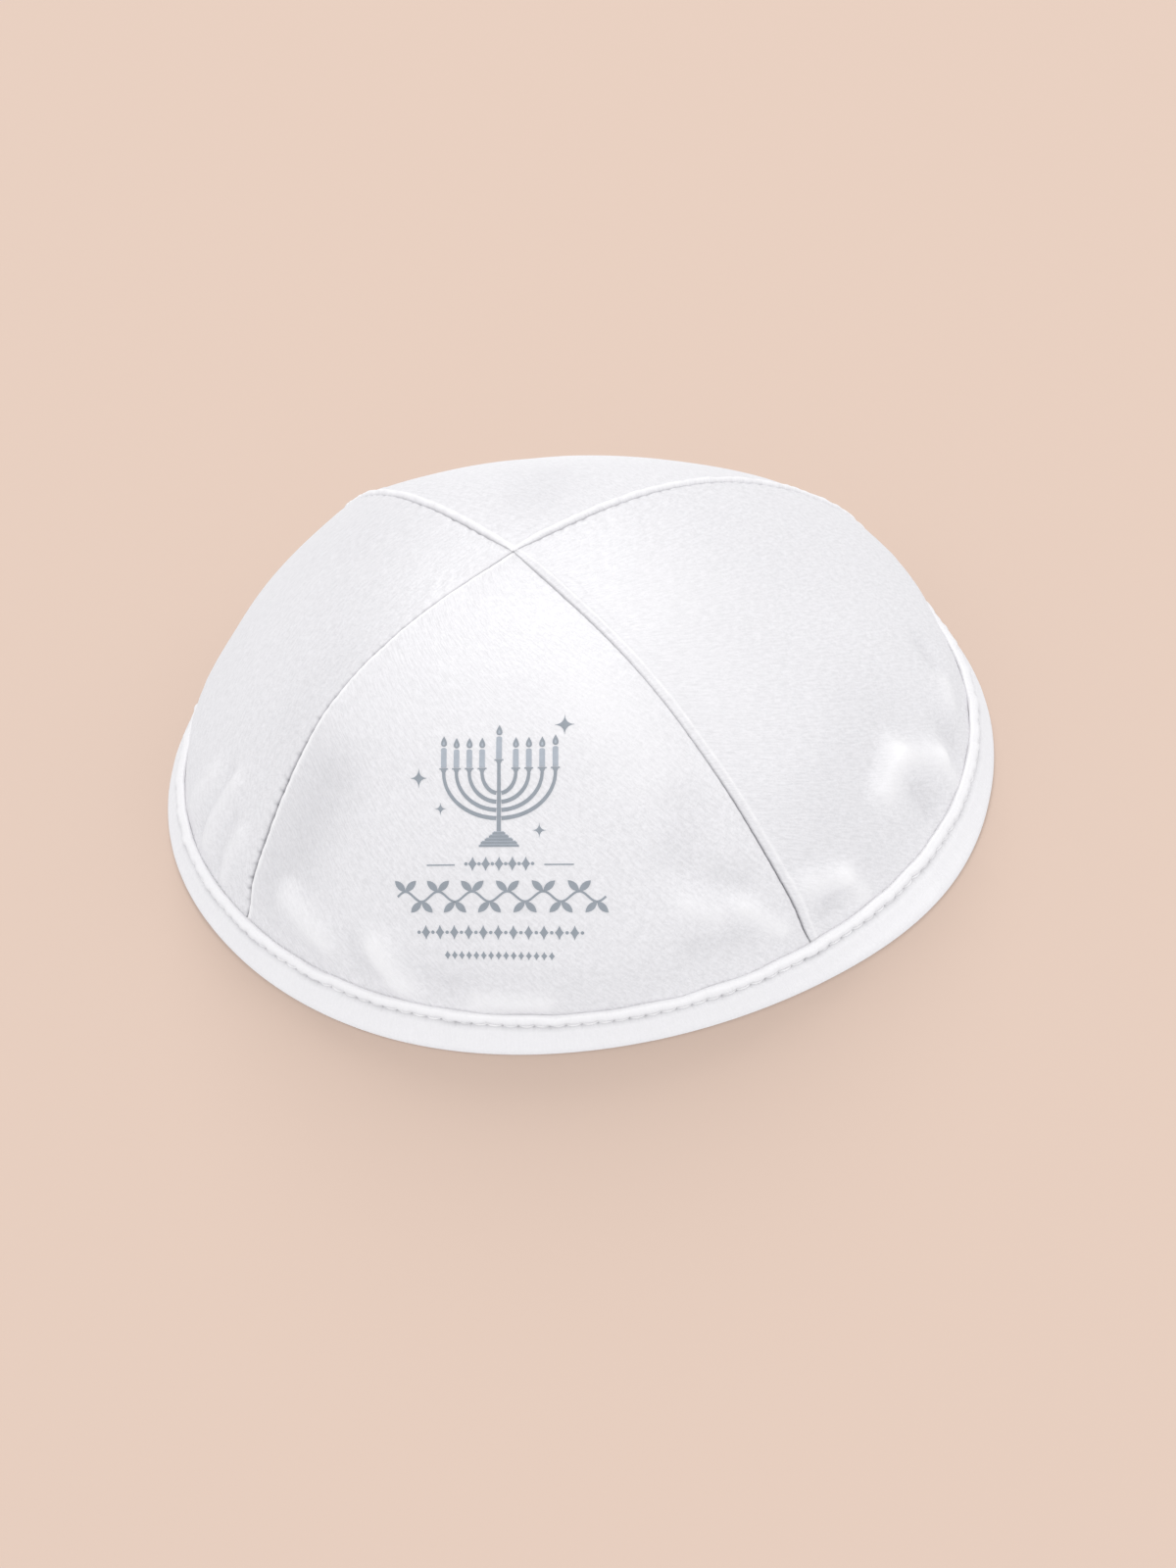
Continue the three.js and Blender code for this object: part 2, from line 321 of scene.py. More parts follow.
satinLook = {
    # colour, colour of duller patches, least and most roughness, how much the weave shows, turn of the grain
    "satinPanels": ((0.915, 0.91, 0.925), (0.875, 0.87, 0.888), (0.36, 0.46), 0.12, 0),
    "satinStrip": ((0.935, 0.93, 0.94), (0.9, 0.895, 0.908), (0.36, 0.46), 0.03, 45),
    "lining": ((0.84, 0.835, 0.845), (0.84, 0.835, 0.845), (0.6, 0.7), 0.03, 0),
    "grainAngle": 45,  # degrees that the grain leans on the cloth
    "grain": (520, 1900),  # threads per metre along and across the grain
    "grainDepth": 0.00012,
    "grainMiddle": (0.3, 0.7),  # the noise values between which the roughness goes from least to most
    "slub": (1250, 3.0, 1.2),  # scale, detail and distortion
    "slubDepth": 0.00007,
    "weft": (0.75, 1.25),
    "patch": (34, 2.0),
    "crease": (0.3, 0.3, 0.32),  # painted shade: the colour mixed in at the bottom of a seam or a stitch hole
    "ridge": (0.99, 0.985, 0.99),  # painted highlight: the colour mixed in over a turned edge
    "shader": {
        "Sheen Weight": 0.12,
        "Sheen Roughness": 0.4,
        "Specular IOR Level": 0.5,
        "Metallic": 0.22,  # the share of light that its floating threads mirror
        "Anisotropic": 0.7,
    },
}


def satinMaterial(name):
    light, dim, roughness, fleck, grainTurn = satinLook[name]
    material, n, shader = newMaterial(name)
    place = n.first("ShaderNodeUVMap", uv_map="clothMap")
    lean = math.radians(satinLook["grainAngle"] + grainTurn)
    turned = n.first("ShaderNodeMapping", {"Vector": place, "Rotation": (0, 0, lean)})
    drawn = n.first("ShaderNodeMapping", {"Vector": turned, "Scale": (*satinLook["grain"], 1)})
    grain = n.noise(drawn, 1.0, 2.0)
    slub = n.noise(place, *satinLook["slub"])
    tone = n.mix(n.noise(place, *satinLook["patch"]), (*dim, 1), (*light, 1))
    weft = n.first("ShaderNodeMath", {0: grain, 1: slub}, operation="ADD")
    flecked = n.mix(1.0, tone, n.spread(weft, satinLook["weft"], (1 - fleck, 1.0)), blend_type="MULTIPLY")
    # "crease" is above 0 where shade is painted into the satin's colour, in seams, holes and folds, and below
    # 0 where a highlight is painted, on rolled edges and raised folds
    paintedShadeAndHighlight = n.add("ShaderNodeAttribute", attribute_name="crease").outputs["Fac"]
    shine = n.mix(n.times(paintedShadeAndHighlight, -1.0, use_clamp=True), flecked, (*satinLook["ridge"], 1))
    weave = n.bump(grain, 1.0, satinLook["grainDepth"])
    rough = n.join(n.bump(slub, 1.0, satinLook["slubDepth"]), {"Normal": weave.outputs[0]})
    n.join(shader, {
        "Base Color": n.mix(paintedShadeAndHighlight, shine, (*satinLook["crease"], 1)),
        "Roughness": n.spread(grain, satinLook["grainMiddle"], roughness),
        "Normal": rough.outputs[0],
        "Tangent": n.first("ShaderNodeTangent", direction_type="UV_MAP", uv_map="clothMap"),
        **satinLook["shader"],
    })
    return material


# print and thread: colour, scale and detail of its mottle, roughness, strength and depth of its bumps
plainLook = {
    "thread": ((0.98, 0.975, 0.98), 4200.0, 1.0, 0.42, 0.8, 0.00005),
    "inkDark": ((0.31, 0.345, 0.385), 900.0, 3.0, 0.46, 0.7, 0.00006),
    "inkLight": ((0.43, 0.475, 0.53), 900.0, 3.0, 0.46, 0.7, 0.00006),
    "inkMottle": 0.12,  # how much lighter and darker the ink's mottle is
    "threadSheen": 0.2,
}


def plainMaterial(name):
    colour, scale, detail, roughness, strength, depth = plainLook[name]
    material, n, shader = newMaterial(name)
    mottle = n.noise(n.add("ShaderNodeTexCoord").outputs["Object"], scale, detail)
    n.join(shader, {"Base Color": (*colour, 1), "Roughness": roughness,
                    "Normal": n.bump(mottle, strength, depth).outputs[0]})
    if name == "thread":
        n.join(shader, {"Sheen Weight": plainLook["threadSheen"]})
    else:
        darker, lighter = (tuple(c * share for c in colour) for share in (
            1 - plainLook["inkMottle"], 1 + plainLook["inkMottle"]))
        n.join(shader, {"Base Color": n.mix(mottle, (*darker, 1), (*lighter, 1))})
    return material


satin, stripSatin, lining = (satinMaterial(name) for name in ("satinPanels", "satinStrip", "lining"))
thread, inkDark, inkLight = (plainMaterial(name) for name in ("thread", "inkDark", "inkLight"))
print("materials are made")


# The four panels


panelCloth = {
    "acrossSteps": 176,
    "hiddenRows": 4,  # rows behind the strip
    "openRows": 196,
    "openFrom": 1.6,  # how far under the strip's edge the open rows start
    "crowding": 0.85,  # how far the columns crowd towards the seams
    "seamGap": 0.1,
    # depth and reach of the turned edge and of the dip beside it
    "seamDips": [(0.42, 0.22), (0.14, 0.9)],
    "seamShade": (0.45, 0.16),  # how much shade is painted at the bottom of a seam, and how far from it
    # place, reach and rise of the roll beside each seam, how strongly its stitches pull, and the highlight
    # painted on it
    "rolls": [
        (0.95, 0.62, 0.5, 1.5, 1.0), (0.95, 0.66, 0.48, 1.4, 1.0), (0.6, 0.44, 0.36, 0.9, 1.2),
        (1.5, 0.45, 0.26, 0.7, 0.6),
    ],
    "rollRipple": (0.2, 9),  # share and wavelength of a roll's waves in height, and in its painted highlight
    "shineRipple": (0.25, 5),
    "shineReach": 0.8,  # reach of the painted highlight, as a share of the roll's
    # how much shade is painted at each seam's stitch pulls on the panel that it doesn't cover, low and high
    # on the dome
    "puckerShades": [(0.4, 0.4), (0.35, 0.35), (0.6, 0.1), (0.1, 0.05)],
    "puckerShadeReach": (0.6, 0.5),  # reach of that painted shade along the seam and away from it, as shares of the pucker's
    # where the turned-in cloth starts and ends to thin out, its rise, and from where it's whole
    "allowance": (3.8, 4.7, 0.13, 2.0),
    "ragged": (0.4, 14),  # size and wavelength of that end's waves
    "lap": (5.2, 5.8, 0.3),  # the same inside
    "liningShade": 0.5,  # share of the seams' shade on the lining
    "stitchPitch": 2.7,
    "pucker": (0.15, 0.62, 1.7),  # depth, reach along the seam, reach away from it
    # how far puckers stray along the seam and lean, and the least and most of their size, reach and painted
    # shade
    "puckerDraws": (0.12, 0.5, (0.2, 1.3), (0.6, 1.5), (0.5, 1.3)),
    "creases": 22,  # short creases beside each seam
    "crease": (0.09, 0.7),  # depth and width
    "creaseDraws": ((4, 13), 1.4, (0.8, 1.9)),  # length, lean, width as a share
    "creaseFade": (1.5, 0.4),  # from where a crease is whole, and the share of its length where it fades
    "waves": [(34.0, 0.2, 12), (14.0, 0.05, 14)],  # wavelength, height, how many
    "waveDraws": (0.75, 1.3),  # least and most of their number in a length
    "waveReach": (0.35, 24.0),  # share of the waves left on the crown, and how far up they are whole
    "gathers": (8.0, 0.1, 9.0),  # wavelength, height, how far above the strip
    "foldGain": 1.7,  # how much sharper and deeper the cloth folds than its stiffening
    "seamFade": 7.0,  # half width of a panel where its seams' relief is whole
    # from and to where over the strip's edge the folds and the seams' relief grow whole
    "softFrom": (-0.9, 2.4),
    "seamFrom": (-0.7, 2.5),
    "seed": 11,
    # (across, height) from and to, width and depth as shares of the rim's radius, and how much shade is
    # painted on it, a value below 0 being a painted highlight; a fold with a depth below 0 stands out, and
    # one without depth is only painted sheen
    "folds": {
        "front": [
            ((-0.83, 0.64), (-0.88, 0.34), 0.1, 0.01, 0.17),
            ((-0.84, 0.3), (-0.67, 0.23), 0.038, -0.008, -0.55),
            ((-0.56, 0.27), (-0.5, 0.17), 0.03, 0.006, 0.08),
            ((-0.46, 0.28), (-0.36, 0.16), 0.036, -0.009, -0.65),
            ((-0.08, 0.15), (0.14, 0.15), 0.03, -0.006, -0.6),
            ((-0.3, 0.2), (-0.12, 0.18), 0.04, 0.007, 0.05),
            ((0.81, 0.6), (0.74, 0.5), 0.06, 0.008, 0.09),
            ((0.9, 0.38), (0.84, 0.42), 0.035, 0.006, 0.08),
            ((0.86, 0.32), (0.94, 0.2), 0.025, -0.006, -0.6),
            ((0.84, 0.24), (0.68, 0.26), 0.035, 0.007, 0.09),
            ((0.78, 0.33), (0.7, 0.38), 0.03, -0.004, -0.4),
            ((-0.3, 0.9), (0.6, 0.88), 0.2, 0, -0.15),
            ((0.65, 0.88), (0.76, 0.72), 0.1, 0, -0.25),
        ],
        "right": [
            ((-0.52, 0.34), (-0.36, 0.37), 0.035, -0.008, -0.6),
            ((-0.36, 0.37), (-0.22, 0.26), 0.035, -0.008, -0.6),
            ((-0.22, 0.25), (-0.19, 0.12), 0.03, -0.006, -0.5),
            ((-0.38, 0.25), (-0.36, 0.16), 0.04, 0.012, 0.1),
            ((0.26, 0.38), (0.2, 0.33), 0.035, 0.008, 0.08),
            ((0.14, 0.3), (0.06, 0.27), 0.03, -0.005, -0.4),
            ((-0.08, 0.27), (-0.05, 0.2), 0.035, 0.007, 0.08),
            ((-0.91, 0.17), (-0.85, 0.17), 0.03, 0.008, 0.08),
            ((-0.94, 0.28), (-0.83, 0.24), 0.028, -0.005, -0.5),
            ((-0.83, 0.23), (-0.8, 0.14), 0.028, -0.005, -0.5),
            ((-0.34, 0.47), (-0.76, 0.36), 0.14, 0, 0.07),
            ((-0.33, 0.9), (-0.7, 0.85), 0.2, 0, -0.2),
        ],
        "left": [
            ((0.74, 0.46), (0.71, 0.2), 0.028, -0.007, -0.4),
            ((0.8, 0.38), (0.79, 0.17), 0.024, 0.005, 0.05),
            ((0.9, 0.36), (0.85, 0.15), 0.024, -0.006, -0.35),
            ((0.58, 0.4), (0.52, 0.21), 0.034, -0.006, -0.3),
            ((0.66, 0.46), (0.62, 0.19), 0.026, 0.007, 0.06),
            ((-0.6, 0.9), (0.86, 0.85), 0.15, 0, 0.04),
            ((0.86, 0.85), (0.88, 0.7), 0.1, 0, 0.05),
        ],
        "back": [
            ((-0.1, 0.97), (-0.1, 0.92), 0.09, 0, 0.09),
            ((-0.3, 0.2), (-0.2, 0.42), 0.07, 0.01, 0.06),
            ((-0.05, 0.16), (0.0, 0.34), 0.04, -0.008, -0.4),
            ((0.45, 0.22), (0.4, 0.4), 0.06, 0.009, 0.06),
        ],
    },
}
waveRng = np.random.default_rng(panelCloth["seed"])
clothWaves = []
for wavelength, height, count in panelCloth["waves"]:
    for _ in range(count):
        way = waveRng.normal(size=3)
        way *= 2 * math.pi / wavelength * waveRng.uniform(*panelCloth["waveDraws"]) / np.linalg.norm(way)
        clothWaves.append((way, waveRng.uniform(0, 2 * math.pi), height * math.sqrt(2 / count)))


def foldRelief(panel, places):
    relief, tone = np.zeros(places.shape[:2]), np.zeros(places.shape[:2])
    radius = capShape["rimRadius"]
    for start, end, width, depth, darker in panelCloth["folds"][panel]:
        a, b = (domeSurface(panel, wayAt(np.array([up * capShape["capHeight"]])), np.array([across]))[0, 0]
                for across, up in (start, end))
        share = np.clip(((places - a) @ (b - a)) / ((b - a) @ (b - a)), 0, 1)
        near = bell(np.linalg.norm(places - (a + share[..., None] * (b - a)), axis=-1), width * radius)
        relief -= panelCloth["foldGain"] * depth * radius * near
        # shade painted along the fold, or a highlight where the value is below 0
        tone += darker * near
    return relief, tone


def waveRelief(places):
    relief = sum(height * np.sin(places @ way + phase) for way, phase, height in clothWaves)
    wavelength, height, reach = panelCloth["gathers"]
    angle = np.arctan2(places[..., 1], places[..., 0])
    rng = np.random.default_rng(panelCloth["seed"] + 1)
    gathers = rippleAlong(rng, angle * capShape["rimRadius"], wavelength)
    above = np.maximum(places[..., 2] - capShape["stripHeight"], 0)
    share, wholeTo = panelCloth["waveReach"]
    return relief * (share + (1 - share) * bell(above, wholeTo)) + height * gathers * bell(above, reach)


def seamRelief(rng, seam, distance, along, covers):
    # the cloth beside one seam: turned edge, roll over the turned-in cloth, puckers and short creases, with
    # shade painted at the bottom of the seam and at the puckers and a highlight painted on the roll
    place, rollReach, rise, pull, shine = panelCloth["rolls"][seam]
    low, high = panelCloth["puckerShades"][seam]
    # painted shade at the bottom of the seam
    depth, reach = panelCloth["seamShade"]
    crease = depth * bell(distance, reach)
    relief = -sum(depth * bell(distance, reach) for depth, reach in panelCloth["seamDips"])
    if covers:
        size, wavelength = panelCloth["rollRipple"]
        relief += rise * bell(distance - place, rollReach) * (1 + size * rippleAlong(rng, along, wavelength))
        # a highlight painted along the roll
        size, wavelength = panelCloth["shineRipple"]
        lit = bell(distance - place, panelCloth["shineReach"] * rollReach)
        crease -= shine * lit * (1 + size * rippleAlong(rng, along, wavelength))
        first, last, rise, wholeFrom = panelCloth["allowance"]
        size, wavelength = panelCloth["ragged"]
        ragged = distance + size * rippleAlong(rng, along, wavelength)
        relief += rise * (1 - smoothStep(first, last, ragged)) * smoothStep(0, wholeFrom, distance)
    depth, width, reach = panelCloth["pucker"]
    shadeAlong, shadeAway = panelCloth["puckerShadeReach"]
    stray, leaning, sizes, reaches, puckerShadeSizes = panelCloth["puckerDraws"]
    length = along.max()
    for k in range(int(length / panelCloth["stitchPitch"])):
        at = (k + 0.5 + rng.uniform(-stray, stray)) * panelCloth["stitchPitch"]
        size = depth * pull * rng.uniform(*sizes)
        fromLine = along - at - rng.uniform(-leaning, leaning) * distance
        relief -= size * bell(fromLine, width) * np.exp(-distance / (reach * rng.uniform(*reaches)))
        if not covers:
            # shade painted at each pucker on the panel that the seam doesn't cover
            puckerShade = (low + (high - low) * at / length) * rng.uniform(*puckerShadeSizes)
            crease += puckerShade * bell(fromLine, width * shadeAlong) * bell(distance, reach * shadeAway)
    depth, width = panelCloth["crease"]
    lengths, leaning, widths = panelCloth["creaseDraws"]
    wholeFrom, fadeFrom = panelCloth["creaseFade"]
    for _ in range(panelCloth["creases"]):
        at, long = rng.uniform(0, length), rng.uniform(*lengths)
        lean, size = rng.uniform(-leaning, leaning), depth * rng.uniform(-1, 1)
        line = bell(along - at - lean * distance, width * rng.uniform(*widths))
        fade = 1 - smoothStep(long * fadeFrom, long, distance)
        relief += size * line * smoothStep(0, wholeFrom, distance) * fade
    return relief, crease


def panelPiece(panel, index):
    steps = np.linspace(-1, 1, panelCloth["acrossSteps"])
    crowd = panelCloth["crowding"]
    across = steps * (1 - crowd) + np.sin(steps * math.pi / 2) * crowd
    strip = capShape["stripHeight"]
    openFrom = strip - panelCloth["openFrom"]
    hiddenWays = wayAt(np.linspace(footHeight, openFrom, panelCloth["hiddenRows"], endpoint=False))
    firstWay = float(wayAt(np.array(openFrom)))
    ways = np.concatenate([hiddenWays, np.linspace(firstWay, 1, panelCloth["openRows"])])
    base = domeSurface(panel, ways, across, panelCloth["seamGap"])
    normals = gridNormals(base)
    sideways, upward = stepsAlong(base, 1), stepsAlong(base, 0)
    width = sideways[:, -1:]
    # folds and waves end at the strip, which holds the cloth
    aboveStrip = base[..., 2] - strip
    # crease starts with the shade and highlight painted along the folds
    folds, crease = foldRelief(panel, base)
    soft = (folds + waveRelief(base)) * smoothStep(*panelCloth["softFrom"], aboveStrip)
    start, end, _ = capShape["panels"][panel]
    fade = smoothStep(0, panelCloth["seamFade"], width / 2) * smoothStep(*panelCloth["seamFrom"], aboveStrip)
    seamsRelief, lap = 0, 0
    for seam, distance, along in ((start, sideways, upward[:, :1]), (end, width - sideways, upward[:, -1:])):
        rng = np.random.default_rng(panelCloth["seed"] + 10 * index + seam)
        covers = capShape["seams"][seam][4] == panel
        relief, shade = seamRelief(rng, seam, distance, along + 0 * distance, covers)
        seamsRelief, crease = seamsRelief + relief, crease + shade
        if covers:
            first, last, rise = panelCloth["lap"]
            lap = lap + rise * (1 - smoothStep(first, last, distance))
    # the soft relief eases into the seams so that both panels meet at one level
    outer = base + normals * (soft + seamsRelief * fade)[..., None]
    inner = base + normals * (soft - capShape["panelCloth"] - lap * fade)[..., None]
    rows, columns = base.shape[:2]
    front, behind, rim = closedWall(rows, columns)
    quads = np.concatenate([front, behind, rim])
    faceLooks = np.concatenate([np.zeros(len(front)), np.ones(len(behind)), np.zeros(len(rim))])
    clothMap = np.stack([sideways - width / 2, upward], -1).reshape(-1, 2)
    piece = meshPiece(f"cloth_{panel}", np.concatenate([outer.reshape(-1, 3), inner.reshape(-1, 3)]), quads,
                      [satin, lining], np.concatenate([clothMap, clothMap]),
                      np.concatenate([crease.ravel(), panelCloth["liningShade"] * crease.ravel()]), faceLooks)
    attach(piece, "root")
    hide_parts(f"panel_{panel}")
    middle = len(across) // 2
    fromFloor = np.linalg.norm(base[0, middle] - domeSurface(panel, np.zeros(1), across)[0, middle])
    return {"outer": outer, "normals": gridNormals(outer), "sideways": sideways - width / 2,
            "upward": upward[:, middle] + fromFloor}


panelGrids = {}
for index, panel in enumerate(capShape["panels"]):
    panelGrids[panel] = panelPiece(panel, index)
print("panels are sewn")


# The strip folded round the rim


rimStrip = {
    "stitches": 168,
    "columnsPerStitch": 8,
    "sectionSteps": 60,
    "stitchHeight": 4.7,
    # out from the panels' face, height over the floor
    "section": [
        (0.55, 0.02), (1.15, 0.14), (1.55, 0.55), (1.66, 1.1), (1.6, 1.9), (1.56, 2.8), (1.54, 3.6),
        (1.38, 4.25), (0.86, 4.6), (0.86, 4.78), (1.36, 5.0), (1.68, 5.35), (1.68, 5.75), (1.4, 6.15),
        (0.9, 6.36), (0.34, 6.36), (-0.04, 6.1), (-0.08, 5.6), (0.0, 4.8), (0.2, 1.2), (-0.2, 0.95),
        (-1.3, 0.95), (-1.65, 1.3), (-1.65, 4.9), (-1.75, 5.5), (-2.1, 5.8), (-2.45, 5.5), (-2.55, 5.0),
        (-2.4, 4.7), (-2.6, 4.0), (-2.62, 2.6), (-2.6, 1.2), (-2.4, 0.4), (-1.9, 0.08),
        (-1.4, 0.0), (-0.6, 0.0),
    ],
    "outsideFrom": (0.3, 0.7),  # how far out its outer side starts
    "insideFrom": (2.0, 2.3),
    "insideShare": (0.6, 0.5),  # share of the lobes and of the waves on its inner side
    "hole": (0.5, 0.42, 0.42),  # depth, reach along and reach up
    "holeShade": (0.85, 0.3),  # how much shade is painted into a hole, and how far round it
    "grooveShade": (0.34, 0.34),
    "ridgeShine": (0.62, 6.2, 0.32),  # how much highlight is painted on the rolled edge, at what height, and how far from it
    "shineFrom": (-0.2, 0.3),  # how far out that painted highlight starts
    "scallop": (0.16, 0.7),  # rise between the holes, and its reach up
    "scallopAt": [(-0.85, 1.0), (0.75, 0.7)],  # how far over the stitches, share
    "waveCount": 6,  # sines in each of its waves
    "waveDraws": (0.6, 1.5),  # least and most of their number in a length
    # size and wavelength, and the heights between which it grows
    "wobble": (0.1, 11.0, 0.6, 2.5),
    "lift": (0.1, 16.0, 5.0, 5.9),
    "ridgeWobble": (0.1, 7.0, 5.6, 0.7),  # the last two are its height and reach
    "seamBump": (0.22, 3.5, 1, 4),
    # the lower edge's flares: way round the rim in degrees, reach in degrees, how far out
    "flares": [(256, 28, 2.0), (333, 21, 2.2)],
    "flareShape": (4.5, 1.3),  # height, and how hollow a flare is
    "seed": 29,
}


def rimColumns(count, height):
    # (panel, across) of evenly spaced places round the rim, starting at the first panel's first seam
    panels, fine = list(capShape["panels"]), 600
    across = np.sin(np.linspace(-1, 1, fine) * math.pi / 4) / math.sin(math.pi / 4)
    way = wayAt(np.array([height]))
    places = np.concatenate([domeSurface(panel, way, across)[0] for panel in panels])
    reached = stepsAlong(np.vstack([places, places[:1]])[None], 1)[0]
    columns = []
    for k in range(count):
        at = reached[-1] * k / count
        index = (np.searchsorted(reached[:-1], at, side="right") - 1) // fine
        columns.append((panels[index], np.interp(at, reached[index * fine:(index + 1) * fine], across)))
    return columns, reached[-1]


def smoothLoop(points, steps):
    # evenly spaced points on a closed curve through the given ones
    points = np.array(points, float)
    t = np.linspace(0, 1, 24, endpoint=False)[:, None]
    fine = []
    for i in range(len(points)):
        p0, p1, p2, p3 = (points[(i + k) % len(points)] for k in (-1, 0, 1, 2))
        fine.append(0.5 * (2 * p1 + (p2 - p0) * t + (2 * p0 - 5 * p1 + 4 * p2 - p3) * t**2
                           + (3 * p1 - p0 - 3 * p2 + p3) * t**3))
    closed = np.concatenate(fine + [points[:1]])
    reached = stepsAlong(closed[None], 1)[0]
    at = np.linspace(0, reached[-1], steps, endpoint=False)
    return np.stack([np.interp(at, reached, closed[:, k]) for k in (0, 1)], -1)


def rimFace(columns, heights):
    # panels' outer face and its level direction outwards, for each height and column
    ways = wayAt(np.maximum(heights, footHeight))
    faces = np.zeros((len(heights), len(columns), 3))
    for panel in capShape["panels"]:
        ids = [k for k, column in enumerate(columns) if column[0] == panel]
        across = np.array([columns[k][1] for k in ids])
        faces[:, ids] = domeSurface(panel, ways, across)
    faces[..., 2] = 0
    middle = faces.mean(axis=1, keepdims=True)
    outward = faces - middle
    return faces, outward / np.linalg.norm(outward, axis=-1, keepdims=True)


def stripRelief(out, height, along, pitch, seamsAt, length):
    rng = np.random.default_rng(rimStrip["seed"])
    around = 2 * math.pi * along / length

    def roundWaves(size, wavelength):
        # waves that close round the rim
        total = 0
        for _ in range(rimStrip["waveCount"]):
            turns = max(1, int(round(length / wavelength * rng.uniform(*rimStrip["waveDraws"]))))
            total = total + np.sin(turns * around + rng.uniform(0, 2 * math.pi)) / 2
        return size * total

    up = height - rimStrip["stitchHeight"]
    outside = smoothStep(*rimStrip["outsideFrom"], out)
    inside = smoothStep(*rimStrip["insideFrom"], -out)
    depth, reach, reachUp = rimStrip["hole"]
    fromHole = np.abs((along / pitch + 0.5) % 1 - 0.5) * pitch
    hole = depth * bell(fromHole, reach) * bell(up, reachUp)
    rise, reachUp = rimStrip["scallop"]
    between = 0.5 - 0.5 * np.cos(2 * math.pi * along / pitch)
    lobes = rise * between * sum(share * bell(up - at, reachUp) for at, share in rimStrip["scallopAt"])
    size, wavelength, low, high = rimStrip["wobble"]
    wobble = roundWaves(size, wavelength) * smoothStep(low, high, height)
    size, wavelength, at, reach = rimStrip["ridgeWobble"]
    ridge = roundWaves(size, wavelength) * bell(height - at, reach)
    size, wavelength, low, high = rimStrip["lift"]
    lift = roundWaves(size, wavelength) * smoothStep(low, high, height)
    size, reach, low, high = rimStrip["seamBump"]
    away = [np.abs((along - seamAt + length / 2) % length - length / 2) for seamAt in seamsAt]
    bump = size * sum(bell(distance, reach) for distance in away) * smoothStep(low, high, height)
    lobesShare, wobbleShare = rimStrip["insideShare"]
    push = outside * (lobes - hole + wobble + ridge + bump)
    push -= inside * (lobesShare * lobes - hole + wobbleShare * wobble)
    # shade painted into the stitch holes and the groove, and a highlight painted on the rolled edge, for the
    # satin's colour
    dark, reach = rimStrip["holeShade"]
    shade = dark * bell(fromHole, reach) * bell(up, reach)
    dark, reach = rimStrip["grooveShade"]
    shade = np.maximum(shade, dark * bell(up, reach)) * (outside + inside)
    bright, at, reach = rimStrip["ridgeShine"]
    return push, lift, shade - bright * bell(height - at, reach) * smoothStep(*rimStrip["shineFrom"], out)


def flareOut(out, height, outward):
    # how far the strip's lower edge leans out
    way = np.degrees(np.arctan2(outward[..., 1], outward[..., 0]))
    top, hollow = rimStrip["flareShape"]
    lean = np.clip(1 - height / top, 0, 1) ** hollow * smoothStep(*rimStrip["outsideFrom"], out)
    return lean * sum(size * bell((way - at + 180) % 360 - 180, reach)
                      for at, reach, size in rimStrip["flares"])


def stripPiece():
    count = rimStrip["stitches"] * rimStrip["columnsPerStitch"]
    columns, length = rimColumns(count, rimStrip["stitchHeight"])
    pitch = length / rimStrip["stitches"]
    section = smoothLoop(rimStrip["section"], rimStrip["sectionSteps"])
    out, height = section[:, :1] + np.zeros(count), section[:, 1:] + np.zeros(count)
    along = np.arange(count)[None] * length / count
    seamsAt = [k * length / count for k in range(count) if columns[k][0] != columns[k - 1][0]]
    faces, outward = rimFace(columns, section[:, 1])
    push, lift, shade = stripRelief(out, height, along, pitch, seamsAt, length)
    push += flareOut(out, height, outward)
    places = faces + outward * (out + push)[..., None]
    places[..., 2] = np.maximum(height + lift, 0)
    # faces run round the section and along the rim, pointing out of the cloth
    quads = gridQuads(count, len(section), closed=True)
    sectionWay = stepsAlong(section[None], 1)[0]
    sectionLength = sectionWay[-1] + np.linalg.norm(section[0] - section[-1])
    clothMap = np.stack(np.broadcast_arrays(along[0][:, None], sectionWay[None]), -1).reshape(-1, 2)
    piece = meshPiece("strip_cloth", places.transpose(1, 0, 2).reshape(-1, 3), quads, [stripSatin],
                      clothMap, shade.T, turns=(length, sectionLength))
    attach(piece, "root")
    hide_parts("rim_binding")
    return columns


stripColumns = stripPiece()
print("strip is folded round the rim")


# Stitches round the rim, by geometry nodes


rimThread = {
    "length": 2.8,
    "thickness": 0.5,
    "lift": 0.4,
    "sink": 0.34,
    "outsideAt": 0.86,  # out from the panels' face
    "insideAt": -2.5,
    "turn": 3.0,  # degrees that stitches stray from the line
    "seed": 5,
    "steps": (8, 6),  # along a stitch and round it
}


def newTree(name, inputs, output):
    # a tree with these inputs and one output of geometry
    tree = bpy.data.node_groups.new(name, "GeometryNodeTree")
    for label, kind in inputs.items():
        tree.interface.new_socket(label, in_out="INPUT", socket_type="NodeSocket" + kind)
    tree.interface.new_socket(output, in_out="OUTPUT", socket_type="NodeSocketGeometry")
    n = Nodes(tree)
    return tree, n, n.add("NodeGroupInput").outputs


def onPoints(n, points, instance):
    # instances with X along the point's "along" and Z along its "outward"
    along, outward = (n.first("GeometryNodeInputNamedAttribute", {"Name": label}, data_type="FLOAT_VECTOR")
                      for label in ("along", "outward"))
    turn = n.first("FunctionNodeAlignRotationToVector", {"Vector": outward}, axis="Z", pivot_axis="AUTO")
    turn = n.first("FunctionNodeAlignRotationToVector", {"Rotation": turn, "Vector": along},
                   axis="X", pivot_axis="Z")
    return n.first("GeometryNodeInstanceOnPoints", {"Points": points, "Instance": instance, "Rotation": turn})


def endTree(n, instances, look, output):
    realized = n.first("GeometryNodeRealizeInstances", {"Geometry": instances})
    finished = n.first("GeometryNodeSetMaterial", {"Geometry": realized, "Material": look})
    n.add("NodeGroupOutput", {output: finished})


